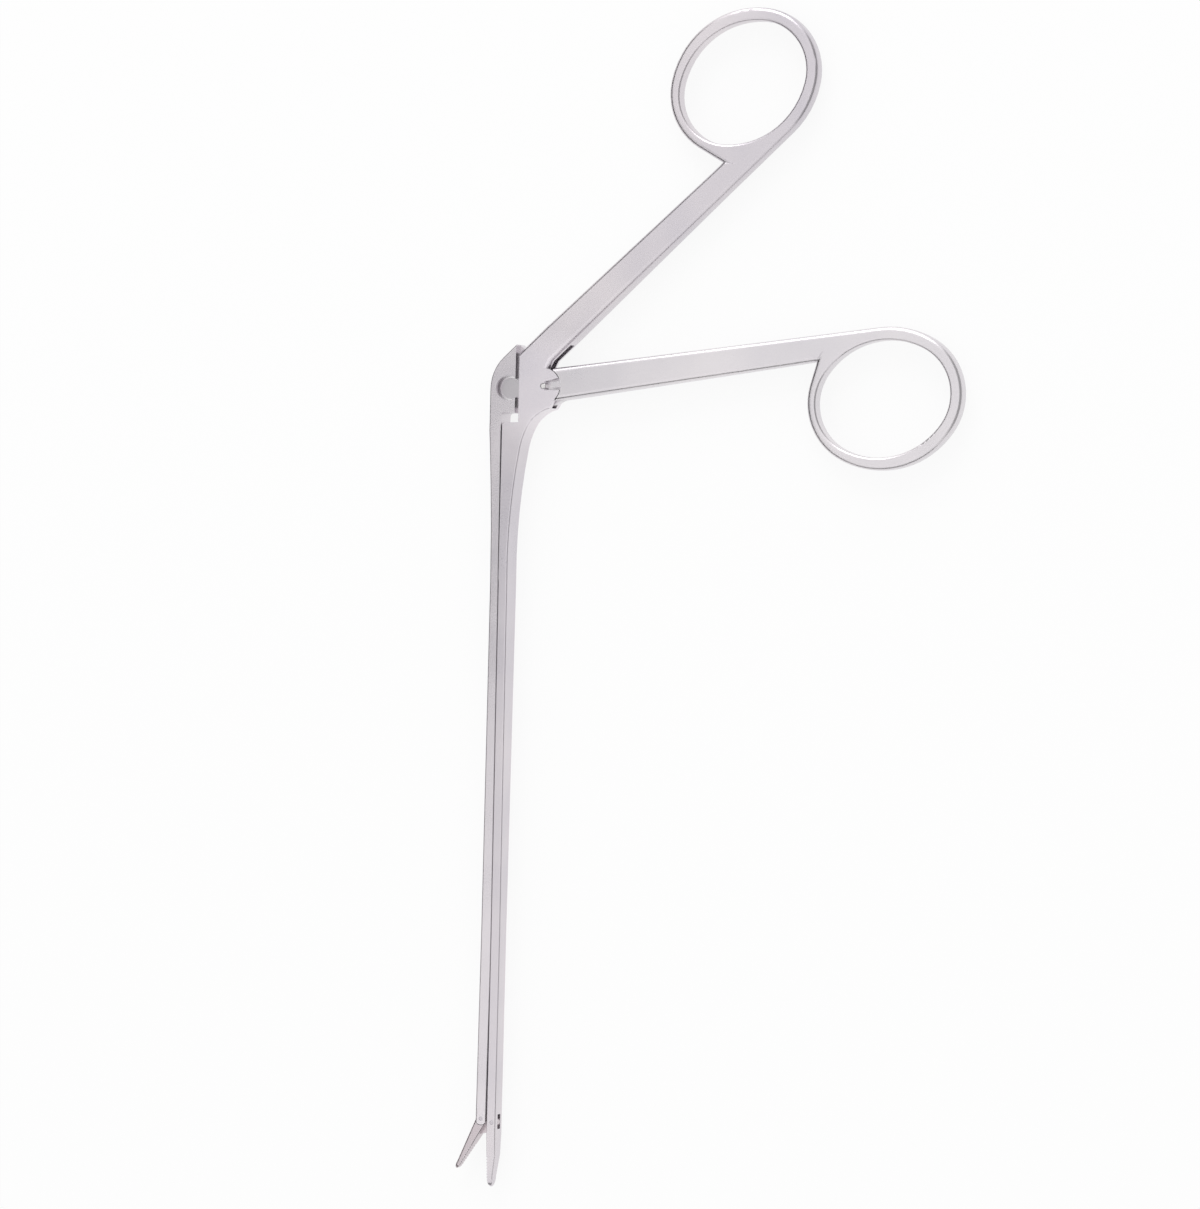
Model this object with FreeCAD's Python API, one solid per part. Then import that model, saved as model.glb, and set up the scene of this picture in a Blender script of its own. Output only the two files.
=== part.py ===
import FreeCAD, Part
import math
import os

# Ear dressing forceps: a long two-part shaft worked by two ring handles.
# Millimetres. The instrument lies flat: the shaft points along -Y, the handles along +X and +Y.
# The origin is on the axis of the handle pivot, at the level of the side it lies on.

V = FreeCAD.Vector

# Thicknesses, measured along Z and all centred on one mid-plane
body_thickness = 5.4
shaft_end_thickness = 3.8
jaw_tip_thickness = 2.5
ring_thickness = 3.5
slot_width = 2.3
side_clearance = 0.1
mid_z = body_thickness / 2

# Handle pivot: a cross pin in the lever's tongue, its ends seated in the cheeks beside a notch
pivot_pin_radius = 0.55
pin_running_clearance = 0.04
pin_chamfer = 0.1
nose_radius = 3.6
nose_gap = 0.15
notch_floor_drop = 0.8
notch_roof_rise = 0.79
notch_roof_slope = 15.0
notch_wall_x = 0.25

# Cheeks and throat of the fixed body
cheek_left_x = -5.15
shoulder_y = -7.3
shoulder_corner_radius = 0.7
slot_bottom_y = -4.35
slot_top_y = 8.3
v_corner_x = 0.95
v_corner_y = 3.45
v_step_length = 1.7
nose_end_angle = -48.0
throat_corner_x = 1.3
throat_corner_y = -4.55
throat_bend_x = -3.1
throat_bend_y = -8.1
throat_low_x = -4.6
throat_low_y = -12.4
throat_heading = 91.5
waist_y = -39.0

# Shaft: the fixed half lies right of the parting line, the slider left of it
parting_x = -8.55
fixed_side_x = -6.65
shaft_taper_end_y = -110.0
shaft_edge_radius = 0.4
parting_edge_chamfer = 0.1

# Slider: head plate, rod and the reliefs that leave the thin parting slit
head_left_x = -11.4
head_right_x = -5.95
head_foot_y = -5.4
head_slope_angle = 43.2
head_slope_x = -7.2
head_slope_y = 7.15
head_bend_radius = 8.8
rod_start_y = -9.0
rod_bow = [(-14.0, -11.13), (-20.0, -10.86), (-28.0, -10.59), (waist_y, -10.45)]
rod_end_x = -11.05
slit_gap = 0.06
slit_gap_at_ends = 0.3
slit_relief_start_y = -45.0
slit_relief_end_y = -118.0
head_corner_radius = 0.7
guide_tongue_reach = 1.6
guide_tongue_foot_y = 6.6
guide_tongue_bevel = 1.0
guide_tongue_bevel_start = 0.3
guide_tongue_end_gap = 0.1
head_overlap = 1.0

# T-shaped lugs that hold the slider on the fixed shaft, in grooves with an entry pocket
lug_count = 3
first_lug_y = -20.0
last_lug_above_jaw_pivot = 15.85
lug_length = 6.0
lug_neck_width = 1.0
lug_neck_depth = 0.55
lug_head_width = 1.9
lug_head_depth = 0.55
lug_clearance = 0.08
groove_end_clearance = 0.3
entry_pocket_length = 6.4

# Knob at the end of the lever's tongue and its socket in the slider's head
knob_x = -7.57
knob_y = -0.45
knob_radius = 2.15
socket_clearance = 0.35
neck_width = 3.1
neck_centre_y = -0.5

# Front lever: shoulder and stop tooth
shoulder_top_angle = 60.0
shoulder_trim_angle = 100.0
shoulder_trim_depth = 0.5
shoulder_start = 1.0
tongue_inset = 0.25
tongue_web_angles = (55.0, 40.0, -25.0)
tongue_web_reach = 1.5
tongue_heel_x = 2.1
tongue_heel_y = -3.55
tongue_heel_root_x = 1.0
tongue_heel_root_y = -4.05
tooth_half_width = 0.6
tooth_angle = 6.5
tooth_start = 1.7
tooth_recess = 0.2

# Ring handles, drawn with the arm's outer edge as the base line
rear_arm_angle = 43.2
rear_arm_offset = 2.55
rear_arm_root_width = 5.95
rear_ring_reach = 71.35
front_arm_angle = 7.3
front_arm_offset = 3.32
front_arm_root_width = 6.5
front_ring_reach = 70.6
arm_end_width = 5.2
arm_end_before_crotch = 0.9
arm_taper_start = 9.0
arm_root_overlap = 2.0
arm_taper_end_before_crotch = 4.8
arm_edge_radius = 0.95
finger_hole_edge_radius = 0.6
finger_hole_half_length = 13.8
finger_hole_half_width = 11.4
finger_hole_end_radius = 10.0
ring_band_width = 2.6
rear_ring_near_band = 2.1
front_ring_near_band = 1.9
ring_tilt = 7.0
rear_ring_flank_angle = 197.0
front_ring_flank_angle = 204.0
crease_angle = -49.0
crease_length = 2.8
crease_radius = 0.2
crease_end_radius = 0.03

# Jaws: the moving jaw turns on a pin in the fixed shaft and is driven by a pin in the slider
jaw_pivot_x = -7.5
jaw_pivot_y = -147.85
drive_pin_x = -9.85
jaw_opening = 32.3
jaw_pin_radius = 0.4
jaw_pin_clearance = 0.05
jaw_pin_chamfer = 0.05
drive_slot_inward = 0.13
jaw_lug_radius = 0.85
drive_lug_radius = 0.75
jaw_root_thickness = 1.3
jaw_slot_width = 1.5
jaw_slot_above = 1.6
jaw_slot_below = 1.35
jaw_slot_blind_below = 4.0
jaw_slot_blind_wall = 0.3
slider_end_radius = 1.2
slider_end_gap = 0.15
jaw_face_gap = 0.06
fixed_jaw_tip_y = -160.85
moving_jaw_tip_y = -160.3
fixed_jaw_tip_width = 1.25
fixed_jaw_tip_length = 2.0
moving_jaw_tip_width = 1.0
moving_jaw_back_step = 0.15
moving_jaw_tip_thickness = 1.8
jaw_root_y = -150.0
jaw_bend_y = -154.5
jaw_bend_drop = 0.05
jaw_edge_radius = 0.45
moving_jaw_tip_length = 1.4
tip_steps = 6
tip_cut_off = 0.15
tooth_pitch = 0.6
tooth_depth = 0.2
tooth_count = 9
tooth_relief = 0.2
first_tooth_from_tip = 0.9
jaw_web = [(0.55, -0.65), (0.1, -1.6), (-0.2, -2.8), (-1.2, -3.85), (-2.2, -3.85), (-2.8, -1.3), (-2.3, -0.6)]
drive_pocket_depth = 3.0
drive_pocket_margin = 0.5
through = 2.0
long = 400.0

v_corner = V(v_corner_x, v_corner_y, 0)
throat_corner = V(throat_corner_x, throat_corner_y, 0)
throat_points = [V(throat_low_x, throat_low_y, 0), V(throat_bend_x, throat_bend_y, 0), throat_corner]
head_slope_point = V(head_slope_x, head_slope_y, 0)
knob_centre = V(knob_x, knob_y, 0)
jaw_pivot = V(jaw_pivot_x, jaw_pivot_y, 0)
lug_step = (jaw_pivot_y + last_lug_above_jaw_pivot - first_lug_y) / (lug_count - 1)
lug_centres_y = [first_lug_y + number * lug_step for number in range(lug_count)]
tongue_thickness = slot_width - 2 * side_clearance
half_opening = math.radians(jaw_opening / 2)
drive_rise = (jaw_pivot.x - drive_pin_x) * math.tan(half_opening)
slider_travel = 2 * drive_rise
drive_arm_length = (jaw_pivot.x - drive_pin_x) / math.cos(half_opening)
drive_pin_rest = V(drive_pin_x, jaw_pivot.y + drive_rise, 0)
drive_pin_closed = V(drive_pin_x, jaw_pivot.y - drive_rise, 0)


def polar(radius, degrees, centre=V(0, 0, 0)):
    angle = math.radians(degrees)
    return centre + V(radius * math.cos(angle), radius * math.sin(angle), 0)


def unit(vector):
    return vector * (1 / vector.Length)


def face_of(edges):
    return Part.Face(Part.Wire(edges))


def polygon(points):
    return Part.Face(Part.makePolygon(points + [points[0]]))


def plate(face, thickness):
    solid = face.extrude(V(0, 0, thickness))
    solid.translate(V(0, 0, mid_z - thickness / 2))
    return solid


def disc(centre, radius, thickness):
    base = V(centre.x, centre.y, mid_z - thickness / 2)
    return Part.makeCylinder(radius, thickness, base)


def box(x0, x1, y0, y1, thickness):
    return plate(polygon([V(x0, y0, 0), V(x1, y0, 0), V(x1, y1, 0), V(x0, y1, 0)]), thickness)


def line(a, b):
    return Part.LineSegment(a, b).toShape()


def arc(a, middle, b):
    return Part.Arc(a, middle, b).toShape()


def arc_chain(start, heading, points):
    # Arcs that run smoothly into one another, each ending at the next point
    edges = []
    for end in points:
        chord = end - start
        chord_angle = math.degrees(math.atan2(chord.y, chord.x))
        turn = chord_angle - heading
        bulge = chord.Length / 2 * math.tan(math.radians(turn / 2))
        edges.append(arc(start, start + chord * 0.5 + polar(bulge, chord_angle - 90), end))
        heading = chord_angle + turn
        start = end
    return edges


def straight_hull(a, b, radius_a, radius_b, thickness):
    # Two discs joined by their common tangents
    along = b - a
    turn = math.atan2(along.y, along.x)
    side = math.acos((radius_a - radius_b) / along.Length)
    corners = []
    for centre, radius in ((a, radius_a), (b, radius_b)):
        for sign in (1, -1):
            corners.append(polar(radius, math.degrees(turn + sign * side), centre))
    web = plate(polygon([corners[0], corners[1], corners[3], corners[2]]), thickness)
    return web.fuse([disc(a, radius_a, thickness), disc(b, radius_b, thickness)])


def edges_along(shape, test):
    # Edges of a plate that lie on its upper or lower face, picked by their middle point
    found = []
    for edge in shape.Edges:
        if edge.Length < 0.3:
            continue
        middle = edge.valueAt((edge.FirstParameter + edge.LastParameter) / 2)
        ends = [vertex.Point.z for vertex in edge.Vertexes]
        upright = len(ends) == 2 and abs(ends[0] - ends[1]) > 0.5 * edge.Length
        if not upright and abs(middle.z - mid_z) > 0.5 and test(middle):
            found.append(edge)
    return found


def half_thickness_at(y):
    # Half the thickness of the shaft, which tapers from the body to the jaws
    share = (y - waist_y) / (shaft_taper_end_y - waist_y)
    share = min(1.0, max(0.0, share))
    return (body_thickness + (shaft_end_thickness - body_thickness) * share) / 2


def bar_section(y, back, face, half, back_radius, chamfer):
    # Section across the shaft: round corners along its back, a fine chamfer along its parting face
    inward = math.copysign(1, face - back)
    corner = back_radius * (1 - math.sqrt(0.5))
    low = mid_z - half
    high = mid_z + half
    back_low = V(back, y, low + back_radius)
    back_high = V(back, y, high - back_radius)
    top_back = V(back + inward * back_radius, y, high)
    top_face = V(face - inward * chamfer, y, high)
    face_high = V(face, y, high - chamfer)
    face_low = V(face, y, low + chamfer)
    foot_face = V(face - inward * chamfer, y, low)
    foot_back = V(back + inward * back_radius, y, low)
    edges = [line(back_low, back_high)]
    edges.append(arc(back_high, V(back + inward * corner, y, high - corner), top_back))
    edges += [line(top_back, top_face), line(top_face, face_high), line(face_high, face_low)]
    edges += [line(face_low, foot_face), line(foot_face, foot_back)]
    edges.append(arc(foot_back, V(back + inward * corner, y, low + corner), back_low))
    return Part.Wire(edges)


def bar(stations):
    # Straight-sided stretch of shaft or jaw between the given cross-sections
    return Part.makeLoft([bar_section(*station) for station in stations], True, True)


def rounded_tip(start_y, tip_y, back, face, half, back_radius, chamfer):
    # Cross-sections that close a jaw's tip as half an ellipse, in plan and from the side
    middle = (back + face) / 2
    stations = []
    for step in range(1, tip_steps + 1):
        reach = step / (tip_steps + tip_cut_off)
        scale = math.sqrt(1 - reach * reach)
        y = start_y + (tip_y - start_y) * reach
        sides = (middle + (back - middle) * scale, middle + (face - middle) * scale)
        stations.append((y, *sides, half * scale, back_radius * scale, chamfer * scale))
    return stations


def oval_side_radius(half_length, half_width, end_radius):
    # Radius of the two side arcs that run smoothly into the two end arcs
    squares = half_length ** 2 + half_width ** 2
    return (squares - 2 * half_length * end_radius) / (2 * (half_width - end_radius))


def handle_outline(root_width, reach, near_band, flank_angle, start):
    # The arm's outer edge runs tangent into the ring, its inner edge meets the ring at the crotch.
    # The ring's long axis is tilted towards the other handle; its band is thinner at the end near the arm.
    along = polar(1, -ring_tilt)
    across = polar(1, 90 - ring_tilt)
    half_length = finger_hole_half_length + (near_band + ring_band_width) / 2
    half_width = finger_hole_half_width + ring_band_width
    end_radius = finger_hole_end_radius + ring_band_width
    side_radius = oval_side_radius(half_length, half_width, end_radius)
    low_side = V(reach, side_radius, 0)
    centre = low_side - across * (side_radius - half_width)
    high_side = centre - across * (side_radius - half_width)
    far_end = centre + along * (half_length - end_radius)
    near_end = centre - along * (half_length - end_radius)
    touch = V(reach, 0, 0)
    flank_start = polar(end_radius, flank_angle, near_end)
    crotch = crotch_point(flank_start, flank_angle)
    join_low_far = far_end + unit(far_end - low_side) * end_radius
    join_high_far = far_end + unit(far_end - high_side) * end_radius
    join_high_near = near_end + unit(near_end - high_side) * end_radius
    low_middle = low_side + unit((touch - low_side) + (join_low_far - low_side)) * side_radius
    near_middle = near_end + unit((join_high_near - near_end) + (flank_start - near_end)) * end_radius
    bend = V(crotch.x - arm_end_before_crotch, arm_end_width, 0)
    root = V(start, root_width, 0)
    heel = V(start, 0, 0)
    edges = [line(heel, touch), arc(touch, low_middle, join_low_far)]
    edges.append(arc(join_low_far, far_end + along * end_radius, join_high_far))
    edges.append(arc(join_high_far, high_side + across * side_radius, join_high_near))
    edges += [arc(join_high_near, near_middle, flank_start), line(flank_start, crotch)]
    edges += [line(crotch, bend), line(bend, root), line(root, heel)]
    hole_centre = centre - along * (ring_band_width - near_band) / 2
    return face_of(edges).cut(finger_hole(hole_centre, along, across)), crotch


def crotch_point(flank_start, flank_angle):
    # Where the ring's straight flank meets the arm's inner edge
    flank_turn = math.radians(flank_angle + 90)
    rise = arm_end_width - flank_start.y
    return flank_start + V(rise / math.tan(flank_turn), rise, 0)


def finger_hole(centre, along, across):
    side_radius = oval_side_radius(finger_hole_half_length, finger_hole_half_width, finger_hole_end_radius)
    edges = []
    for sign in (1, -1):
        end = centre + along * sign * (finger_hole_half_length - finger_hole_end_radius)
        side = centre - across * sign * (side_radius - finger_hole_half_width)
        other_side = centre * 2 - side
        end_join = end + unit(end - side) * finger_hole_end_radius
        other_join = end + unit(end - other_side) * finger_hole_end_radius
        edges.append(arc(other_join, end + along * sign * finger_hole_end_radius, end_join))
        side_join = centre * 2 - other_join
        edges.append(arc(end_join, side + across * sign * side_radius, side_join))
    return face_of(edges)


def bow_handle(root_width, reach, near_band, flank_angle, start):
    # Arm and finger ring in one piece: thick at the pivot, thinning evenly to the ring
    outline, crotch = handle_outline(root_width, reach, near_band, flank_angle, start)
    blank = plate(outline.Faces[0], body_thickness)
    half_root = body_thickness / 2
    half_end = ring_thickness / 2
    stations = [(start - 1, half_root), (arm_taper_start, half_root)]
    stations += [(crotch.x - arm_taper_end_before_crotch, half_end), (long, half_end)]
    upper = [V(x, 0, mid_z + half) for x, half in stations]
    lower = [V(x, 0, mid_z - half) for x, half in reversed(stations)]
    wedge = polygon(upper + lower).extrude(V(0, long, 0))
    wedge.translate(V(0, -long / 2, 0))
    blank = blank.common(wedge)
    outside = outline.Faces[0].OuterWire
    hole_rims = edges_along(blank, lambda p: p.x > start + 0.1 and on_rim(blank, p) and not beside(outside, p))
    blank = blank.makeFillet(finger_hole_edge_radius, hole_rims)
    outer_rims = edges_along(blank, lambda p: p.x > start + 0.1 and on_rim(blank, p) and beside(outside, p))
    return blank.makeFillet(arm_edge_radius, outer_rims).cut(crotch_creases(crotch))


def crotch_creases(crotch):
    # Fine crease that carries the line of the ring's flank on into the arm, on both sides
    along = polar(1, crease_angle)
    creases = []
    for side in (1, -1):
        start = crotch - along * crease_radius + V(0, 0, mid_z + side * ring_thickness / 2)
        creases.append(Part.makeCone(crease_radius, crease_end_radius, crease_length, start, along))
    return creases


def beside(wire, point):
    # True where a point lies straight above or below the given outline
    return wire.distToShape(Part.Vertex(point.x, point.y, 0))[0] < 0.001


def on_rim(blank, point):
    # True on the outline's own edges, false on the faint lines where the taper starts and ends
    inside = [point + V(dx, dy, 0) for dx, dy in ((0.05, 0), (-0.05, 0), (0, 0.05), (0, -0.05))]
    level = V(0, 0, mid_z - point.z) * 0.2
    return not all(blank.isInside(p + level, 0.001, True) for p in inside)


def handle(angle, offset, side, root_width, reach, near_band, flank_angle, start):
    # side is 1 where the ring lies left of the arm, seen along it, and -1 where it lies right
    shape = bow_handle(root_width, reach, near_band, flank_angle, start)
    if side < 0:
        shape = shape.mirror(V(0, 0, 0), V(0, 1, 0))
    shape.rotate(V(0, 0, 0), V(0, 0, 1), angle)
    shape.translate(polar(offset, angle + 90))
    return shape


def arm_point(angle, offset, along, across):
    # A point given along and across an arm's outer edge
    return polar(along, angle) + polar(offset + across, angle + 90)


def cheek_outline():
    rear = (rear_arm_angle, rear_arm_offset)
    plate_end = arm_taper_start
    arm_low = arm_point(*rear, plate_end, 0)
    arm_high = arm_point(*rear, plate_end, rear_arm_root_width)
    slope = polar(1, rear_arm_angle)
    shift = (cheek_left_x - arm_high.x) / slope.x
    cheek_top = V(cheek_left_x, arm_high.y + shift * slope.y, 0)
    v_top_along = v_corner.dot(polar(1, rear_arm_angle)) + v_step_length
    v_top = arm_point(*rear, v_top_along, 0)
    nose_start_angle = math.degrees(math.atan2(v_corner.y, v_corner.x))
    nose_start = polar(nose_radius, nose_start_angle)
    nose_middle = polar(nose_radius, (nose_start_angle + nose_end_angle) / 2)
    nose_end = polar(nose_radius, nose_end_angle)
    throat_end = V(fixed_side_x, waist_y, 0)
    foot = [V(parting_x, waist_y, 0), V(parting_x, shoulder_y - shoulder_corner_radius, 0)]
    corner_end = V(parting_x + shoulder_corner_radius, shoulder_y, 0)
    corner_centre = V(corner_end.x, foot[1].y, 0)
    edges = [line(arm_high, cheek_top)]
    edges.append(line(cheek_top, V(cheek_left_x, shoulder_y, 0)))
    edges.append(line(V(cheek_left_x, shoulder_y, 0), corner_end))
    edges.append(arc(corner_end, polar(shoulder_corner_radius, 135, corner_centre), foot[1]))
    edges.append(line(foot[1], foot[0]))
    edges.append(line(foot[0], throat_end))
    edges += arc_chain(throat_end, throat_heading, throat_points)
    edges.append(line(throat_corner, nose_end))
    edges.append(arc(nose_end, nose_middle, nose_start))
    edges.append(line(nose_start, v_top))
    edges.append(line(v_top, arm_low))
    edges.append(line(arm_low, arm_high))
    return Part.Face(Part.Wire(Part.__sortEdges__(edges)))


def pin_notch():
    # Seat of the pivot pin in both cheeks, and the notch beside it that is open towards the lever
    seat = disc(V(0, 0, 0), pivot_pin_radius + pin_running_clearance, body_thickness + through)
    roof = math.radians(notch_roof_slope)
    roof_start = V(notch_wall_x, notch_roof_rise / math.cos(roof) + notch_wall_x * math.tan(roof), 0)
    roof_end = roof_start + polar(nose_radius + through, notch_roof_slope)
    floor_end = V(nose_radius + through, -notch_floor_drop, 0)
    floor_start = V(notch_wall_x, -notch_floor_drop, 0)
    mouth = polygon([roof_start, roof_end, floor_end, floor_start])
    return seat.fuse(plate(mouth, body_thickness + through))


def fixed_shaft():
    # Straight half of the shaft with the fixed jaw at its end
    edges = (shaft_edge_radius, parting_edge_chamfer)
    stations = []
    for y in (waist_y + 1, waist_y, shaft_taper_end_y, jaw_root_y):
        stations.append((y, fixed_side_x, parting_x, half_thickness_at(y), *edges))
    half_tip = jaw_tip_thickness / 2
    half_bend = (half_thickness_at(jaw_root_y) + half_tip) / 2
    stations.append((jaw_bend_y, fixed_side_x - jaw_bend_drop, parting_x, half_bend, *edges))
    tip_start = fixed_jaw_tip_y + fixed_jaw_tip_length
    tip = (parting_x + fixed_jaw_tip_width, parting_x, half_tip, jaw_edge_radius, parting_edge_chamfer)
    stations.append((tip_start, *tip))
    stations += rounded_tip(tip_start, fixed_jaw_tip_y, *tip)
    return bar(stations)


def lug_grooves():
    grooves = []
    for centre_y in lug_centres_y:
        top_y = centre_y + lug_length / 2 + groove_end_clearance
        bottom_y = centre_y - lug_length / 2 - slider_travel - groove_end_clearance
        neck_end = parting_x + lug_neck_depth
        head_end = neck_end + lug_head_depth + lug_clearance
        neck_width_open = lug_neck_width + 2 * lug_clearance
        head_width_open = lug_head_width + 2 * lug_clearance
        grooves.append(box(parting_x - 1, neck_end + 0.1, bottom_y, top_y, neck_width_open))
        grooves.append(box(neck_end, head_end, bottom_y, top_y, head_width_open))
        pocket_top = top_y + entry_pocket_length
        grooves.append(box(parting_x - 1, head_end, top_y - 0.1, pocket_top, head_width_open))
    return grooves


def slider_lugs():
    lugs = []
    for centre_y in lug_centres_y:
        top_y = centre_y + lug_length / 2
        bottom_y = centre_y - lug_length / 2
        neck_end = parting_x + lug_neck_depth + lug_clearance
        head_end = parting_x + lug_neck_depth + lug_head_depth
        lugs.append(box(parting_x - 1, neck_end + 0.1, bottom_y, top_y, lug_neck_width))
        lugs.append(box(neck_end, head_end, bottom_y, top_y, lug_head_width))
    return lugs


def serrations(face_x, tip_y, side):
    # Fine cross teeth cut into a jaw's gripping face, side 1 on the fixed jaw and -1 on the moving one
    cuts = []
    for number in range(tooth_count):
        crest_y = tip_y + first_tooth_from_tip + number * tooth_pitch
        a = V(face_x - side * tooth_relief, crest_y - tooth_pitch / 2, 0)
        b = V(face_x - side * tooth_relief, crest_y + tooth_pitch / 2 + tooth_relief / 2, 0)
        root = V(face_x + side * tooth_depth, crest_y + tooth_pitch / 4, 0)
        cuts.append(plate(polygon([a, b, root]), body_thickness + through))
    return cuts


def jaw_slot_in_shaft():
    # Slot for the moving jaw's root: through at the pivot, blind towards the tip
    low = jaw_pivot.y - jaw_slot_below
    high = jaw_pivot.y + jaw_slot_above
    through = box(parting_x - 1, fixed_side_x + 1, low, high, jaw_slot_width)
    blind_end = fixed_side_x - jaw_slot_blind_wall
    blind = box(parting_x - 1, blind_end, jaw_pivot.y - jaw_slot_blind_below, jaw_pivot.y, jaw_slot_width)
    return [through, blind]


def rear_handle_body():
    solid = plate(cheek_outline(), body_thickness)
    throat = edges_along(solid, lambda p: waist_y + 1 < p.y < shoulder_y and p.x > fixed_side_x)
    solid = solid.makeFillet(shaft_edge_radius, throat)
    arm = polar(1, rear_arm_angle)
    sides = edges_along(solid, lambda p: p.y > nose_radius + 0.5 and p.x > cheek_left_x + 1)
    arm_root = [edge for edge in sides if abs(edge.CenterOfMass.dot(arm) - arm_taper_start) > 0.5]
    solid = solid.makeFillet(arm_edge_radius, arm_root)
    tools = [box(cheek_left_x - 2, long, slot_bottom_y, slot_top_y, slot_width), pin_notch()]
    tools += lug_grooves() + jaw_slot_in_shaft()
    tools += serrations(parting_x, fixed_jaw_tip_y, 1)
    ring = (rear_ring_reach, rear_ring_near_band, rear_ring_flank_angle)
    arm_start = arm_taper_start - arm_root_overlap
    bow = handle(rear_arm_angle, rear_arm_offset, 1, rear_arm_root_width, *ring, arm_start)
    solid = solid.fuse([fixed_shaft(), bow]).removeSplitter()
    solid = solid.cut(tools)
    pin_hole = disc(jaw_pivot, jaw_pin_radius, body_thickness + through)
    return solid.cut(pin_hole)


def lever_tongue():
    # Thin tongue between the cheeks, from the shoulder past the pivot to the round knob
    hub_radius = nose_radius - tongue_inset
    web_radius = nose_radius + nose_gap + tongue_web_reach
    top, upper, lower = tongue_web_angles
    web = [polar(hub_radius, top), polar(web_radius, upper), polar(web_radius, lower)]
    web += [V(tongue_heel_x, tongue_heel_y, 0), V(tongue_heel_root_x, tongue_heel_root_y, 0)]
    half_neck = neck_width / 2
    neck = box(knob_centre.x, 0, neck_centre_y - half_neck, neck_centre_y + half_neck, tongue_thickness)
    hub = disc(V(0, 0, 0), hub_radius, tongue_thickness)
    knob = disc(knob_centre, knob_radius, tongue_thickness)
    return hub.fuse([plate(polygon(web), tongue_thickness), neck, knob])


def stop_tooth():
    # Raised tooth on each side of the tongue that stands in the cheeks' notches
    along = polar(1, tooth_angle)
    across = polar(tooth_half_width, tooth_angle + 90)
    near = along * tooth_start
    far = along * (nose_radius + nose_gap + 1)
    corners = [near + across, near - across, far - across, far + across]
    return plate(polygon(corners), body_thickness - 2 * tooth_recess)


def front_lever():
    shoulder_radius = nose_radius + nose_gap
    ring = (front_ring_reach, front_ring_near_band, front_ring_flank_angle)
    solid = handle(front_arm_angle, front_arm_offset, -1, front_arm_root_width, *ring, shoulder_start)
    outside = shoulder_radius + through
    inside = shoulder_radius - shoulder_trim_depth
    trim = [polar(inside, shoulder_top_angle), polar(outside, shoulder_top_angle)]
    trim += [polar(outside, shoulder_trim_angle), V(-shoulder_start, shoulder_start, 0)]
    round_end = disc(V(0, 0, 0), shoulder_radius, body_thickness + through)
    solid = solid.cut([round_end, plate(polygon(trim), body_thickness + through)])
    solid = solid.fuse([lever_tongue(), stop_tooth()]).removeSplitter()
    return solid.cut(disc(V(0, 0, 0), pivot_pin_radius, body_thickness + through))


def slit_gap_at(y):
    # The parting slit is a hair's width along the middle and opens a little towards both ends
    if y > slit_relief_start_y:
        share = (y - slit_relief_start_y) / (head_foot_y - slit_relief_start_y)
    else:
        share = max(0.0, (slit_relief_end_y - y) / (slit_relief_end_y - jaw_pivot.y))
    return slit_gap + (slit_gap_at_ends - slit_gap) * share


def slider_head():
    # Head plate down to the start of the rod
    slope = math.radians(head_slope_angle)
    corner_y = head_slope_point.y - (head_slope_point.x - head_left_x) * math.tan(slope)
    tangent = head_bend_radius * math.tan((math.pi / 2 - slope) / 2)
    bend_start = V(head_left_x, corner_y - tangent, 0)
    bend_end = V(head_left_x, corner_y, 0) + polar(tangent, head_slope_angle)
    bend_centre = V(head_left_x + head_bend_radius, bend_start.y, 0)
    bend_middle = polar(head_bend_radius, 180 - (90 - head_slope_angle) / 2, bend_centre)
    tip_y = head_slope_point.y + (head_right_x - head_slope_point.x) * math.tan(slope)
    tip = V(head_right_x, tip_y, 0)
    foot = V(head_right_x, head_foot_y, 0)
    rod_top_x = parting_x - slit_gap_at_ends
    corner_a = V(rod_top_x + head_corner_radius, head_foot_y, 0)
    corner_b = V(rod_top_x, head_foot_y - head_corner_radius, 0)
    corner_centre = V(corner_a.x, corner_b.y, 0)
    rod_right = V(parting_x - slit_gap_at(rod_start_y), rod_start_y, 0)
    rod_left = V(head_left_x, rod_start_y, 0)
    edges = [arc(bend_start, bend_middle, bend_end), line(bend_end, tip)]
    edges += [line(tip, foot), line(foot, corner_a)]
    edges.append(arc(corner_a, polar(head_corner_radius, 135, corner_centre), corner_b))
    edges += [line(corner_b, rod_right), line(rod_right, rod_left), line(rod_left, bend_start)]
    head = plate(face_of(edges), body_thickness)
    left_edges = edges_along(head, lambda p: p.x < head_left_x + 0.1 and p.y < bend_start.y)
    return head.makeFillet(shaft_edge_radius, left_edges)


def slider_rod():
    # Rod with a bowed back down to the waist, then straight to an end that is round about the drive pin
    end_y = drive_pin_rest.y - slider_end_radius
    waist_x = rod_bow[-1][1]
    backs = [(rod_start_y, head_left_x)] + rod_bow
    for y in (shaft_taper_end_y, slit_relief_end_y, end_y):
        backs.append((y, waist_x + (rod_end_x - waist_x) * (y - waist_y) / (end_y - waist_y)))
    edges = (shaft_edge_radius, parting_edge_chamfer)
    stations = [(y, x, parting_x - slit_gap_at(y), half_thickness_at(y), *edges) for y, x in backs]
    corners = box(rod_end_x - 1, parting_x + 1, end_y - 1, drive_pin_rest.y, body_thickness)
    corners = corners.cut(disc(drive_pin_rest, slider_end_radius, body_thickness + through))
    return bar(stations).cut(corners)


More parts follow.
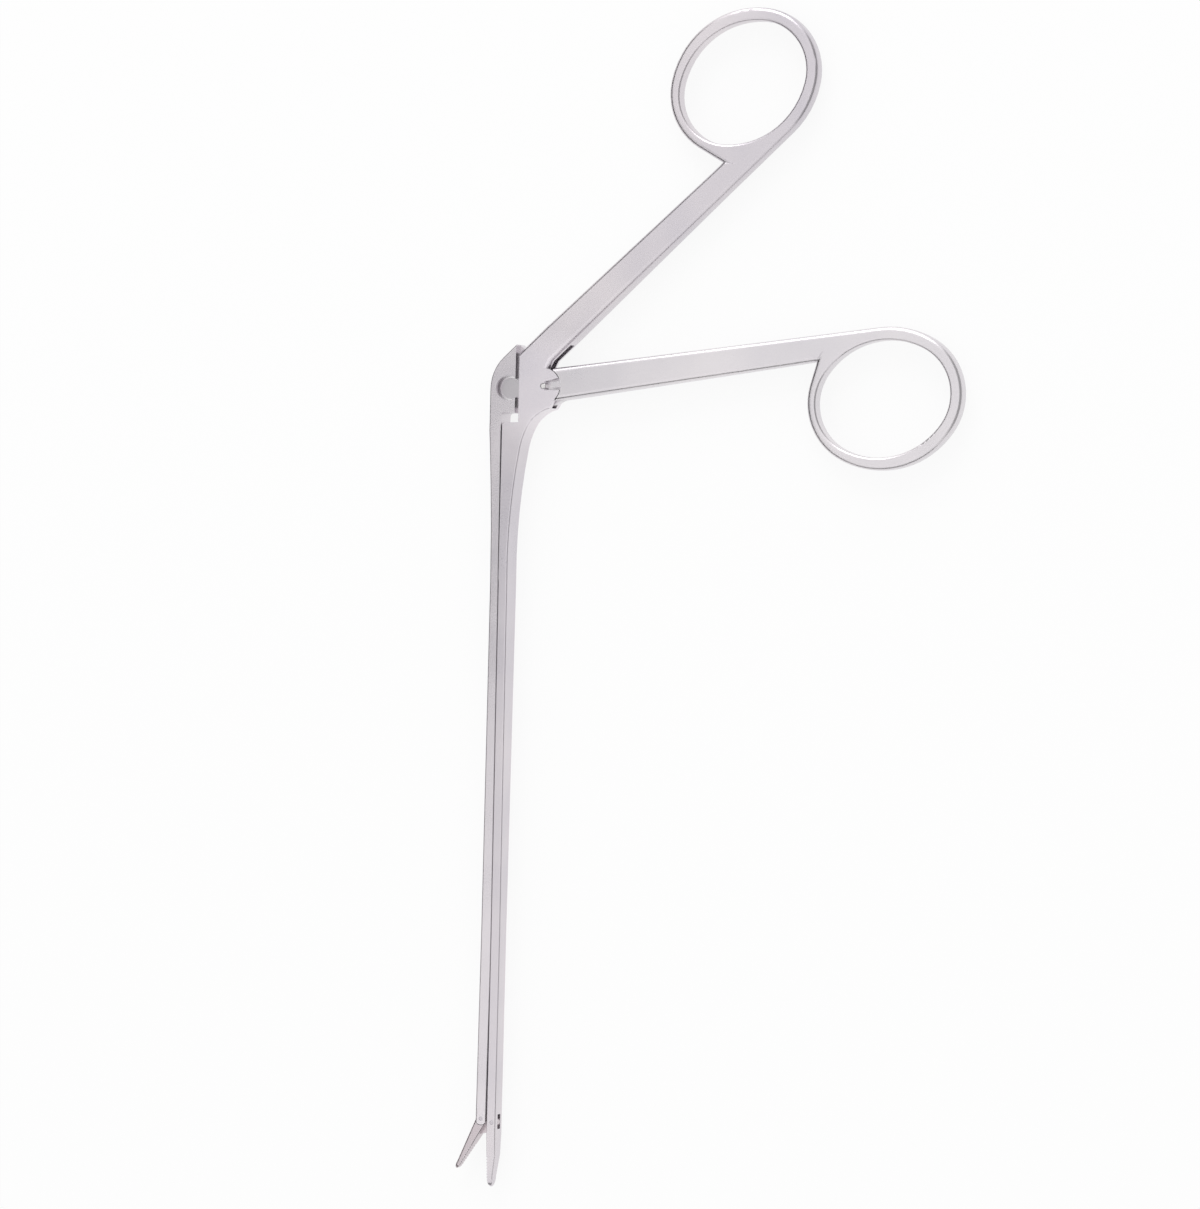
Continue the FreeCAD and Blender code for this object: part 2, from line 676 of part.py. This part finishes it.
def sliding_shaft():
    tip_y = slot_top_y - guide_tongue_end_gap
    left = head_right_x - head_overlap
    right = head_right_x + guide_tongue_reach
    guide = [V(left, guide_tongue_foot_y, 0), V(right, guide_tongue_foot_y, 0)]
    guide.append(V(right, tip_y - guide_tongue_bevel, 0))
    guide += [V(head_right_x + guide_tongue_bevel_start, tip_y, 0), V(left, head_slope_y, 0)]
    pieces = [slider_rod(), plate(polygon(guide), tongue_thickness)] + slider_lugs()
    solid = slider_head().fuse(pieces).removeSplitter()
    socket = disc(knob_centre, knob_radius + socket_clearance, body_thickness + through)
    pocket_left = jaw_pivot.x - drive_arm_length - drive_lug_radius - side_clearance
    pocket_top = drive_pin_rest.y + drive_lug_radius + drive_pocket_margin
    pocket_low = drive_pin_rest.y - drive_pocket_depth
    pocket = box(pocket_left, parting_x + 1, pocket_low, pocket_top, jaw_slot_width)
    pin_hole = disc(drive_pin_rest, jaw_pin_radius, body_thickness + through)
    return solid.cut([socket, pocket, pin_hole])


def moving_jaw():
    # Drawn closed, with its gripping face on the parting line, then turned open to its place at rest
    face_x = parting_x - jaw_face_gap
    root_y = drive_pin_closed.y
    tip_start = moving_jaw_tip_y + moving_jaw_tip_length
    edges = (jaw_edge_radius, parting_edge_chamfer)
    tip = (face_x - moving_jaw_tip_width, face_x, moving_jaw_tip_thickness / 2, *edges)
    root_back = rod_end_x + moving_jaw_back_step
    stations = [(root_y, root_back, face_x, half_thickness_at(root_y), *edges), (tip_start, *tip)]
    blade = bar(stations + rounded_tip(tip_start, moving_jaw_tip_y, *tip))
    knuckle = disc(drive_pin_closed, slider_end_radius + slider_end_gap, body_thickness)
    blade = blade.cut([knuckle] + serrations(face_x, moving_jaw_tip_y, -1))
    root = straight_hull(jaw_pivot, drive_pin_closed, jaw_lug_radius, drive_lug_radius, jaw_root_thickness)
    web = polygon([jaw_pivot + V(*point, 0) for point in jaw_web])
    root = root.fuse(plate(web, jaw_root_thickness))
    solid = blade.fuse(root).removeSplitter()
    pivot_hole = disc(jaw_pivot, jaw_pin_radius + jaw_pin_clearance, body_thickness)
    along = drive_pin_closed - jaw_pivot
    along.normalize()
    slot_radius = jaw_pin_radius + jaw_pin_clearance
    near = drive_pin_closed - along * drive_slot_inward
    drive_slot = straight_hull(near, drive_pin_closed, slot_radius, slot_radius, body_thickness)
    solid = solid.cut([pivot_hole, drive_slot])
    solid.rotate(jaw_pivot, V(0, 0, 1), -jaw_opening)
    return solid


def cross_pin(centre, radius, length, chamfer):
    # Pin ground flush with the faces it runs through
    pin = disc(centre, radius, length)
    ends = [edge for edge in pin.Edges if edge.Closed]
    return pin.makeChamfer(chamfer, ends)


def main():
    os.makedirs("parts", exist_ok=True)
    pieces = {
        "rear_handle_and_shaft": rear_handle_body(),
        "front_handle_lever": front_lever(),
        "sliding_shaft": sliding_shaft(),
        "moving_jaw": moving_jaw(),
        "handle_pivot_pin": cross_pin(V(0, 0, 0), pivot_pin_radius, body_thickness, pin_chamfer),
        "jaw_pivot_pin": cross_pin(jaw_pivot, jaw_pin_radius, shaft_end_thickness, jaw_pin_chamfer),
        "jaw_drive_pin": cross_pin(drive_pin_rest, jaw_pin_radius, shaft_end_thickness, jaw_pin_chamfer),
    }
    for name, shape in pieces.items():
        print(name, "valid", shape.isValid(), "solids", len(shape.Solids), "volume", round(shape.Volume, 2))
        shape.exportStep("parts/" + name + ".step")


main()
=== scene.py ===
# Ear dressing forceps with ring handles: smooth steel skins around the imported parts
import math

import bpy
from mathutils import Matrix, Vector


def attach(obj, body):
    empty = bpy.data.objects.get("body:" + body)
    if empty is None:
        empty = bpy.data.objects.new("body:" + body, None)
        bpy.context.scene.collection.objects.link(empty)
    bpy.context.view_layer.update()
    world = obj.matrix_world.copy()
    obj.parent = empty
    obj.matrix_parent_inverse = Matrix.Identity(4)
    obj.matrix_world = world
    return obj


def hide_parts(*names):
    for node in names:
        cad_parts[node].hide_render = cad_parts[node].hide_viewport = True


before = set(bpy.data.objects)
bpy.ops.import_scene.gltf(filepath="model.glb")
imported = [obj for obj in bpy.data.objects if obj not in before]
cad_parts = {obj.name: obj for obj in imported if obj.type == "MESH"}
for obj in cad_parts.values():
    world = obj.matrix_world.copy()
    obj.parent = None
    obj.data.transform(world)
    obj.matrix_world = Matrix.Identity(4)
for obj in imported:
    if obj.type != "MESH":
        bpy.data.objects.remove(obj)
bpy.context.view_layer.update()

mm = 0.001
print("frame loaded, parts:", len(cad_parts))


def newNode(tree, kind, **values):
    node = tree.nodes.new(kind)
    for name, value in values.items():
        setattr(node, name, value)
    return node


def newGroup(name, inputs, outputs):
    tree = bpy.data.node_groups.new(name, "ShaderNodeTree")
    for label, value in inputs.items():
        socket = tree.interface.new_socket(label, in_out="INPUT", socket_type="NodeSocketFloat")
        socket.default_value = value
    for label, kind in outputs.items():
        tree.interface.new_socket(label, in_out="OUTPUT", socket_type=kind)
    return tree, tree.nodes.new("NodeGroupInput"), tree.nodes.new("NodeGroupOutput")


def placeGroup(tree, group, **values):
    node = newNode(tree, "ShaderNodeGroup", node_tree=group)
    for label, value in values.items():
        node.inputs[label.replace("_", " ")].default_value = value
    return node


def calculate(tree, operation, first, second=0.0, third=0.0, clamp=False):
    node = newNode(tree, "ShaderNodeMath", operation=operation, use_clamp=clamp)
    for socket, value in zip(node.inputs, (first, second, third)):
        if isinstance(value, (int, float)):
            socket.default_value = value
        else:
            tree.links.new(value, socket)
    return node.outputs[0]


# the satin finish that all the steels share
finish = {
    "grainDetail": 3.0,
    "patchDetail": 2.0,
    "patchSize": 22.0 * mm,
    "patchShare": 0.7,               # of the slow noise in the patches
    "grainShare": 0.3,               # of the fine noise in them
    "patchMiddle": 0.5,              # the patches run round this value
    "tintContrast": 3.0,             # patches to tint: times this, less the next
    "tintStart": 0.9,
    "wearStrength": 5.0,
    "samples": 6,                    # of the rounded edges and the slits
    # painted shade: the dark colour mixed into slits and corners
    "paintedShadeColor": (0.16, 0.15, 0.16),
    "bumpDistance": 0.01 * mm,
}


# fine blasted grain over slow unevenness from hand finishing
def makeGrain():
    tree, given, result = newGroup(
        "satinGrain", {"Grain Size": 0.16 * mm, "Patch Size": finish["patchSize"]},
        {"Height": "NodeSocketFloat", "Patches": "NodeSocketFloat"})
    place = newNode(tree, "ShaderNodeTexCoord").outputs["Object"]
    fine = newNode(tree, "ShaderNodeTexNoise")
    fine.inputs["Detail"].default_value = finish["grainDetail"]
    slow = newNode(tree, "ShaderNodeTexNoise")
    slow.inputs["Detail"].default_value = finish["patchDetail"]
    for noise, size in ((fine, "Grain Size"), (slow, "Patch Size")):
        tree.links.new(place, noise.inputs["Vector"])
        tree.links.new(calculate(tree, "DIVIDE", 1.0, given.outputs[size]), noise.inputs["Scale"])
    tree.links.new(fine.outputs["Fac"], result.inputs["Height"])
    patches = calculate(tree, "ADD",
                        calculate(tree, "MULTIPLY", slow.outputs["Fac"], finish["patchShare"]),
                        calculate(tree, "MULTIPLY", fine.outputs["Fac"], finish["grainShare"]))
    tree.links.new(patches, result.inputs["Patches"])
    return tree


# edges that handling has polished: where a rounded normal leaves the true one
def makeEdgeWear():
    tree, given, result = newGroup(
        "edgeWear", {"Radius": 0.3 * mm, "Strength": finish["wearStrength"]},
        {"Mask": "NodeSocketFloat"})
    rounded = newNode(tree, "ShaderNodeBevel", samples=finish["samples"])
    tree.links.new(given.outputs["Radius"], rounded.inputs["Radius"])
    geometry = newNode(tree, "ShaderNodeNewGeometry")
    dot = newNode(tree, "ShaderNodeVectorMath", operation="DOT_PRODUCT")
    tree.links.new(rounded.outputs[0], dot.inputs[0])
    tree.links.new(geometry.outputs["Normal"], dot.inputs[1])
    away = calculate(tree, "SUBTRACT", 1.0, dot.outputs["Value"])
    mask = calculate(tree, "MULTIPLY", away, given.outputs["Strength"], clamp=True)
    tree.links.new(mask, result.inputs["Mask"])
    return tree


# painted shade: slits and corners are darkened where the ambient occlusion finds them closed in
def makeCreviceShade():
    tree, given, result = newGroup(
        "crevice", {"Reach": 0.8 * mm, "Depth": 0.5}, {"Mask": "NodeSocketFloat"})
    closed = newNode(tree, "ShaderNodeAmbientOcclusion", samples=finish["samples"])
    tree.links.new(given.outputs["Reach"], closed.inputs["Distance"])
    hidden = calculate(tree, "SUBTRACT", 1.0, closed.outputs["AO"])
    mask = calculate(tree, "MULTIPLY", hidden, given.outputs["Depth"], clamp=True)
    tree.links.new(mask, result.inputs["Mask"])
    return tree


# painted light and shade: a round place made lighter or darker than the rest, soft at its edge
def makePaintedTone():
    tree, given, result = newGroup(
        "paintedTone", {"Centre X": 0.0, "Centre Y": 0.0, "Radius": 3.0 * mm, "Softness": 1.0 * mm},
        {"Mask": "NodeSocketFloat"})
    place = newNode(tree, "ShaderNodeSeparateXYZ")
    texture = newNode(tree, "ShaderNodeTexCoord")
    tree.links.new(texture.outputs["Object"], place.inputs["Vector"])
    across = calculate(tree, "SUBTRACT", place.outputs["X"], given.outputs["Centre X"])
    along = calculate(tree, "SUBTRACT", place.outputs["Y"], given.outputs["Centre Y"])
    squares = calculate(tree, "MULTIPLY_ADD", across, across, calculate(tree, "MULTIPLY", along, along))
    inside = calculate(tree, "SUBTRACT", given.outputs["Radius"], calculate(tree, "SQRT", squares))
    mask = calculate(tree, "DIVIDE", inside, given.outputs["Softness"], clamp=True)
    tree.links.new(mask, result.inputs["Mask"])
    return tree


# the steels, each with the shared effects at its own strengths; their brightness differs from part to part as
# painted light and shade
steels = {
    "forgedSteel": {
        "color": (0.76, 0.715, 0.74), "shade": (0.60, 0.57, 0.62), "edgeColor": (0.80, 0.77, 0.81),
        "roughness": 0.30, "roughnessSpread": 0.10, "grainSize": 0.16 * mm, "grainHeight": 0.35,
        "edgeRadius": 0.30 * mm, "edgePolish": 0.06, "creviceReach": 0.5 * mm, "creviceDepth": 0.3,
        # the cheek, painted lighter than the arm and the shaft: painted light
        "paintedTone": {"x": -0.5 * mm, "y": -0.5 * mm, "radius": 13.0 * mm, "softness": 7.0 * mm, "gain": 1.19},
    },
    "leverSteel": {
        "color": (0.80, 0.765, 0.785), "shade": (0.66, 0.635, 0.67), "edgeColor": (0.82, 0.80, 0.82),
        "roughness": 0.30, "roughnessSpread": 0.10, "grainSize": 0.16 * mm, "grainHeight": 0.35,
        "edgeRadius": 0.30 * mm, "edgePolish": 0.06, "creviceReach": 0.5 * mm, "creviceDepth": 0.3,
        # the knob, painted darker than the arm: painted shade
        "paintedTone": {"x": -7.57 * mm, "y": -0.45 * mm, "radius": 3.4 * mm, "softness": 0.8 * mm, "gain": 0.83},
    },
    "slideSteel": {
        "color": (0.82, 0.775, 0.80), "shade": (0.62, 0.59, 0.63), "edgeColor": (0.80, 0.77, 0.81),
        "roughness": 0.28, "roughnessSpread": 0.08, "grainSize": 0.14 * mm, "grainHeight": 0.30,
        "edgeRadius": 0.25 * mm, "edgePolish": 0.06, "creviceReach": 0.5 * mm, "creviceDepth": 0.3,
    },
    # the jaw's steel, darker than the other parts: painted shade on its face
    "jawSteelPaintedShade": {
        "color": (0.64, 0.575, 0.60), "shade": (0.56, 0.50, 0.52), "edgeColor": (0.74, 0.70, 0.73),
        "roughness": 0.28, "roughnessSpread": 0.08, "grainSize": 0.14 * mm, "grainHeight": 0.30,
        "edgeRadius": 0.20 * mm, "edgePolish": 0.06, "creviceReach": 0.5 * mm, "creviceDepth": 0.3,
    },
    # the handle pin, lighter than steel: partly its polish, partly a painted highlight on its end
    "pinSteel": {
        "color": (0.93, 0.91, 0.91), "shade": (0.86, 0.84, 0.84), "edgeColor": (0.9, 0.88, 0.9),
        "roughness": 0.24, "roughnessSpread": 0.06, "grainSize": 0.10 * mm, "grainHeight": 0.15,
        "edgeRadius": 0.12 * mm, "edgePolish": 0.05, "creviceReach": 0.4 * mm, "creviceDepth": 0.5,
    },
    "groundPinSteel": {
        "color": (0.64, 0.60, 0.64), "shade": (0.56, 0.52, 0.56), "edgeColor": (0.7, 0.68, 0.7),
        "roughness": 0.26, "roughnessSpread": 0.06, "grainSize": 0.10 * mm, "grainHeight": 0.15,
        "edgeRadius": 0.08 * mm, "edgePolish": 0.05, "creviceReach": 0.4 * mm, "creviceDepth": 0.5,
    },
}


# the steel's colour with painted light and shade: the round place made lighter or darker
def paintToneOnSteel(tree, steel, spot, paintedTone):
    place = placeGroup(tree, paintedTone, Centre_X=spot["x"], Centre_Y=spot["y"],
                       Radius=spot["radius"], Softness=spot["softness"])
    gain = calculate(tree, "MULTIPLY_ADD", place.outputs["Mask"], spot["gain"] - 1.0, 1.0)
    toned = newNode(tree, "ShaderNodeVectorMath", operation="SCALE")
    tree.links.new(steel, toned.inputs[0])
    tree.links.new(gain, toned.inputs["Scale"])
    return toned.outputs["Vector"]


def makeSteel(name, look, effects):
    material = bpy.data.materials.new(name)
    material.use_nodes = True
    tree = material.node_tree
    shader = tree.nodes["Principled BSDF"]
    shader.inputs["Metallic"].default_value = 1.0
    grain = placeGroup(tree, effects["grain"], Grain_Size=look["grainSize"])
    wear = placeGroup(tree, effects["wear"], Radius=look["edgeRadius"])
    crevice = placeGroup(tree, effects["crevice"], Reach=look["creviceReach"], Depth=look["creviceDepth"])

    # colour: random patches, the round place with painted light and shade, painted shade in the slits, worn
    # bright edges
    tint = newNode(tree, "ShaderNodeMix", data_type="RGBA")
    tint.inputs["A"].default_value = (*look["shade"], 1.0)
    tint.inputs["B"].default_value = (*look["color"], 1.0)
    patches = calculate(tree, "MULTIPLY_ADD", grain.outputs["Patches"],
                        finish["tintContrast"], -finish["tintStart"], clamp=True)
    tree.links.new(patches, tint.inputs["Factor"])
    steel = tint.outputs["Result"]
    if "paintedTone" in look:
        steel = paintToneOnSteel(tree, steel, look["paintedTone"], effects["paintedTone"])
    # painted shade in the slits and corners, from the crevice mask
    creviceShade = newNode(tree, "ShaderNodeMix", data_type="RGBA")
    creviceShade.inputs["B"].default_value = (*finish["paintedShadeColor"], 1.0)
    tree.links.new(crevice.outputs["Mask"], creviceShade.inputs["Factor"])
    tree.links.new(steel, creviceShade.inputs["A"])
    bright = newNode(tree, "ShaderNodeMix", data_type="RGBA")
    bright.inputs["B"].default_value = (*look["edgeColor"], 1.0)
    tree.links.new(wear.outputs["Mask"], bright.inputs["Factor"])
    tree.links.new(creviceShade.outputs["Result"], bright.inputs["A"])
    tree.links.new(bright.outputs["Result"], shader.inputs["Base Color"])

    # roughness: uneven with the patches, less on the polished edges
    uneven = calculate(tree, "SUBTRACT", grain.outputs["Patches"], finish["patchMiddle"])
    spread = calculate(tree, "MULTIPLY", uneven, look["roughnessSpread"] * 2)
    polish = calculate(tree, "MULTIPLY", wear.outputs["Mask"], look["edgePolish"])
    rough = calculate(tree, "SUBTRACT", calculate(tree, "ADD", spread, look["roughness"]), polish)
    tree.links.new(rough, shader.inputs["Roughness"])

    bump = newNode(tree, "ShaderNodeBump")
    bump.inputs["Strength"].default_value = look["grainHeight"]
    bump.inputs["Distance"].default_value = finish["bumpDistance"]
    tree.links.new(grain.outputs["Height"], bump.inputs["Height"])
    tree.links.new(bump.outputs["Normal"], shader.inputs["Normal"])
    return material


# skins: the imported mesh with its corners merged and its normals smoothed
skin = {
    "weldDistance": 0.002 * mm,
    "creaseAngle": math.radians(32),
    "flatFaceWeight": 60,
}


# Geometry Nodes: merge the loose corners, crease the real edges, smooth the rest
def makeSkinTree():
    tree = bpy.data.node_groups.new("smoothSkin", "GeometryNodeTree")
    tree.interface.new_socket("Geometry", in_out="INPUT", socket_type="NodeSocketGeometry")
    tree.interface.new_socket("Weld Distance", in_out="INPUT", socket_type="NodeSocketFloat")
    tree.interface.new_socket("Crease Angle", in_out="INPUT", socket_type="NodeSocketFloat")
    tree.interface.new_socket("Steel", in_out="INPUT", socket_type="NodeSocketMaterial")
    tree.interface.new_socket("Geometry", in_out="OUTPUT", socket_type="NodeSocketGeometry")
    given = tree.nodes.new("NodeGroupInput")
    result = tree.nodes.new("NodeGroupOutput")
    link = tree.links.new
    weld = newNode(tree, "GeometryNodeMergeByDistance")
    link(given.outputs["Geometry"], weld.inputs["Geometry"])
    link(given.outputs["Weld Distance"], weld.inputs["Distance"])
    smooth = newNode(tree, "GeometryNodeSetShadeSmooth", domain="FACE")
    link(weld.outputs["Geometry"], smooth.inputs["Geometry"])
    angle = newNode(tree, "GeometryNodeInputMeshEdgeAngle")
    sharp = newNode(tree, "FunctionNodeCompare", data_type="FLOAT", operation="GREATER_THAN")
    link(angle.outputs["Unsigned Angle"], sharp.inputs["A"])
    link(given.outputs["Crease Angle"], sharp.inputs["B"])
    crease = newNode(tree, "GeometryNodeSetShadeSmooth", domain="EDGE")
    crease.inputs["Shade Smooth"].default_value = False
    link(smooth.outputs["Geometry"], crease.inputs["Geometry"])
    link(sharp.outputs["Result"], crease.inputs["Selection"])
    realize = newNode(tree, "GeometryNodeRealizeInstances")
    link(crease.outputs["Geometry"], realize.inputs["Geometry"])
    paint = newNode(tree, "GeometryNodeSetMaterial")
    link(realize.outputs["Geometry"], paint.inputs["Geometry"])
    link(given.outputs["Steel"], paint.inputs["Material"])
    link(paint.outputs["Geometry"], result.inputs["Geometry"])
    return tree


# a modifier's input is set by its socket's identifier
def setInput(modifier, label, value):
    for item in modifier.node_group.interface.items_tree:
        if item.in_out == "INPUT" and item.name == label:
            modifier[item.identifier] = value


# one row for each part: its skin's name, its body, its slot in the record and its steel
pieces = {
    "rear_handle_and_shaft": {
        "skin": "rearHandleAndShaft", "body": "fixed", "slot": "satin_steel", "steel": "forgedSteel"},
    "front_handle_lever": {
        "skin": "frontHandleLever", "body": "lever", "slot": "satin_steel", "steel": "leverSteel"},
    "sliding_shaft": {
        "skin": "slidingShaft", "body": "slider", "slot": "satin_steel", "steel": "slideSteel"},
    "moving_jaw": {
        "skin": "movingJaw", "body": "jaw", "slot": "satin_steel", "steel": "jawSteelPaintedShade"},
    "handle_pivot_pin": {
        "skin": "handlePivotPin", "body": "lever", "slot": "polished_steel", "steel": "pinSteel"},
    "jaw_pivot_pin": {
        "skin": "jawPivotPin", "body": "fixed", "slot": "polished_steel", "steel": "groundPinSteel"},
    "jaw_drive_pin": {
        "skin": "jawDrivePin", "body": "slider", "slot": "polished_steel", "steel": "groundPinSteel"},
}


def makeSkin(node, row, tree, steel):
    source = bpy.data.objects.new(row["skin"] + "Source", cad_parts[node].data.copy())
    bpy.context.collection.objects.link(source)
    modifier = source.modifiers.new("skin", "NODES")
    modifier.node_group = tree
    setInput(modifier, "Weld Distance", skin["weldDistance"])
    setInput(modifier, "Crease Angle", skin["creaseAngle"])
    setInput(modifier, "Steel", steel)
    weighted = source.modifiers.new("flatFaces", "WEIGHTED_NORMAL")
    weighted.keep_sharp = True
    weighted.weight = skin["flatFaceWeight"]
    bpy.context.view_layer.update()
    evaluated = source.evaluated_get(bpy.context.evaluated_depsgraph_get())
    mesh = bpy.data.meshes.new_from_object(evaluated)
    mesh.name = row["skin"]
    piece = bpy.data.objects.new(row["skin"], mesh)
    bpy.context.collection.objects.link(piece)
    bpy.data.objects.remove(source)
    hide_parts(node)
    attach(piece, row["body"])


# the view of the photograph
view = {
    "imageSize": (1200, 1209),       # pixels
    "turn": 20.0,                    # degrees from straight above towards the handles
    "roll": 1.4,                     # degrees, the shaft leans to the left at its foot
    "lens": 165.0,
    "sensor": 36.0,
    "nearest": 0.01,                 # metres, nothing closer is seen
    "distance": 1.1,                 # metres from the near end of the handle pin
    "aim": (0.0, 0.0, 5.4 * mm),     # near end of the handle pin
    "aimPixel": (543.0, 386.0),      # where it is seen
}


def addCamera():
    turn, roll = math.radians(view["turn"]), math.radians(view["roll"])
    back = Vector((math.sin(turn), 0.0, math.cos(turn)))
    level = Vector((math.cos(turn), 0.0, -math.sin(turn)))
    right = math.cos(roll) * level + Vector((0.0, math.sin(roll), 0.0))
    up = Vector((0.0, math.cos(roll), 0.0)) - math.sin(roll) * level
    focal = view["lens"] / view["sensor"] * view["imageSize"][0]
    across = (view["aimPixel"][0] - view["imageSize"][0] / 2) / focal
    above = (view["imageSize"][1] / 2 - view["aimPixel"][1]) / focal
    place = Vector(view["aim"]) - view["distance"] * (across * right + above * up - back)
    data = bpy.data.cameras.new("photoCamera")
    data.sensor_fit = "HORIZONTAL"
    data.sensor_width = view["sensor"]
    data.lens = view["lens"]
    data.clip_start = view["nearest"]
    camera = bpy.data.objects.new("photoCamera", data)
    bpy.context.collection.objects.link(camera)
    turned = Matrix((right, up, back)).transposed().to_4x4()
    camera.matrix_world = Matrix.Translation(place) @ turned
    bpy.context.scene.camera = camera


# white paper floor and white surroundings
studio = {
    "floorDrop": 0.05 * mm,          # below the parts, so that the faces don't meet
    "floorRadius": 6.0,
    "floorColor": (0.96, 0.96, 0.96),
    "floorGlow": 0.87,               # share of plain white where the camera or the steel sees the floor
    "ambient": 0.82,                 # light of the world on matt surfaces
    "seenWorld": 1.0,                # its strength where the camera or the steel sees it
}


# 1 where the camera looks, itself or through the steel's reflections
def seenDirectly(tree):
    path = newNode(tree, "ShaderNodeLightPath")
    seen = calculate(tree, "MAXIMUM", path.outputs["Is Camera Ray"], path.outputs["Is Glossy Ray"])
    return calculate(tree, "MAXIMUM", seen, path.outputs["Is Transmission Ray"])


def addFloor():
    data = bpy.data.meshes.new("floor")
    reach, low = studio["floorRadius"], -studio["floorDrop"]
    corners = [(-reach, -reach, low), (reach, -reach, low), (reach, reach, low), (-reach, reach, low)]
    data.from_pydata(corners, [], [(0, 1, 2, 3)])
    floor = bpy.data.objects.new("floor", data)
    bpy.context.collection.objects.link(floor)
    material = bpy.data.materials.new("floorPaper")
    material.use_nodes = True
    tree = material.node_tree
    shader = tree.nodes["Principled BSDF"]
    shader.inputs["Base Color"].default_value = (*studio["floorColor"], 1.0)
    shader.inputs["Specular IOR Level"].default_value = 0.0
    white = newNode(tree, "ShaderNodeEmission")
    mixed = newNode(tree, "ShaderNodeMixShader")
    glow = calculate(tree, "MULTIPLY", seenDirectly(tree), studio["floorGlow"])
    tree.links.new(glow, mixed.inputs["Fac"])
    tree.links.new(shader.outputs["BSDF"], mixed.inputs[1])
    tree.links.new(white.outputs["Emission"], mixed.inputs[2])
    tree.links.new(mixed.outputs["Shader"], tree.nodes["Material Output"].inputs["Surface"])
    data.materials.append(material)


# soft box behind the rings: watts, metres across, degrees of its beam
lamps = {
    "keyBox": {"power": 5.0, "size": 0.8, "spread": 180.0, "place": (-0.10, 1.10, 0.50), "aim": (0.0, 0.0, 0.0)},
}


def addLights():
    world = bpy.data.worlds.new("whiteStudio")
    bpy.context.scene.world = world
    world.use_nodes = True
    tree = world.node_tree
    background = tree.nodes["Background"]
    background.inputs["Color"].default_value = (1.0, 1.0, 1.0, 1.0)
    strength = newNode(tree, "ShaderNodeMapRange")
    strength.inputs["To Min"].default_value = studio["ambient"]
    strength.inputs["To Max"].default_value = studio["seenWorld"]
    tree.links.new(seenDirectly(tree), strength.inputs["Value"])
    tree.links.new(strength.outputs["Result"], background.inputs["Strength"])
    for name, box in lamps.items():
        data = bpy.data.lights.new(name, "AREA")
        data.shape = "SQUARE"
        data.size = box["size"]
        data.energy = box["power"]
        data.spread = math.radians(box["spread"])
        lamp = bpy.data.objects.new(name, data)
        bpy.context.collection.objects.link(lamp)
        lamp.location = box["place"]
        lamp.rotation_euler = (Vector(box["place"]) - Vector(box["aim"])).to_track_quat("Z", "Y").to_euler()


# grey cards that only the steel reflects: lowest and highest corner, grey
flags = {
    "leftFlag": {"low": (-0.40, -0.60, 0.0), "high": (-0.40, 0.45, 0.34), "grey": 0.08},
    "footFlag": {"low": (-0.40, -0.60, 0.0), "high": (0.45, -0.60, 0.24), "grey": 0.04},
    "rightFlag": {"low": (0.36, -0.30, 0.0), "high": (0.36, 0.45, 0.48), "grey": 0.38},
    "headFlag": {"low": (-0.40, -0.10, 0.45), "high": (-0.150, 0.07, 0.45), "grey": 0.62},
}


# the head's card lies level, the others stand
def cardCorners(low, high):
    if low[2] == high[2]:
        return [low, (high[0], low[1], low[2]), high, (low[0], high[1], low[2])]
    return [low, (high[0], high[1], low[2]), high, (low[0], low[1], high[2])]


def addFlag(name, low, high, grey):
    data = bpy.data.meshes.new(name)
    data.from_pydata(cardCorners(low, high), [], [(0, 1, 2, 3)])
    flag = bpy.data.objects.new(name, data)
    bpy.context.collection.objects.link(flag)
    material = bpy.data.materials.new(name)
    material.use_nodes = True
    tree = material.node_tree
    tree.nodes.remove(tree.nodes["Principled BSDF"])
    card = newNode(tree, "ShaderNodeEmission")
    card.inputs["Color"].default_value = (grey, grey, grey, 1.0)
    tree.links.new(card.outputs["Emission"], tree.nodes["Material Output"].inputs["Surface"])
    data.materials.append(material)
    flag.visible_camera = False
    flag.visible_diffuse = False
    flag.visible_shadow = False
    flag.visible_transmission = False


bpy.context.scene.view_settings.view_transform = "Standard"
addCamera()
addFloor()
addLights()
for name, flag in flags.items():
    addFlag(name, **flag)
print("camera, floor and lights placed")

effects = {"grain": makeGrain(), "wear": makeEdgeWear(), "crevice": makeCreviceShade(), "paintedTone": makePaintedTone()}
made = {name: makeSteel(name, look, effects) for name, look in steels.items()}
print("steels made:", ", ".join(made))

skinTree = makeSkinTree()
for node, row in pieces.items():
    makeSkin(node, row, skinTree, made[row["steel"]])
    print("skin:", row["skin"])
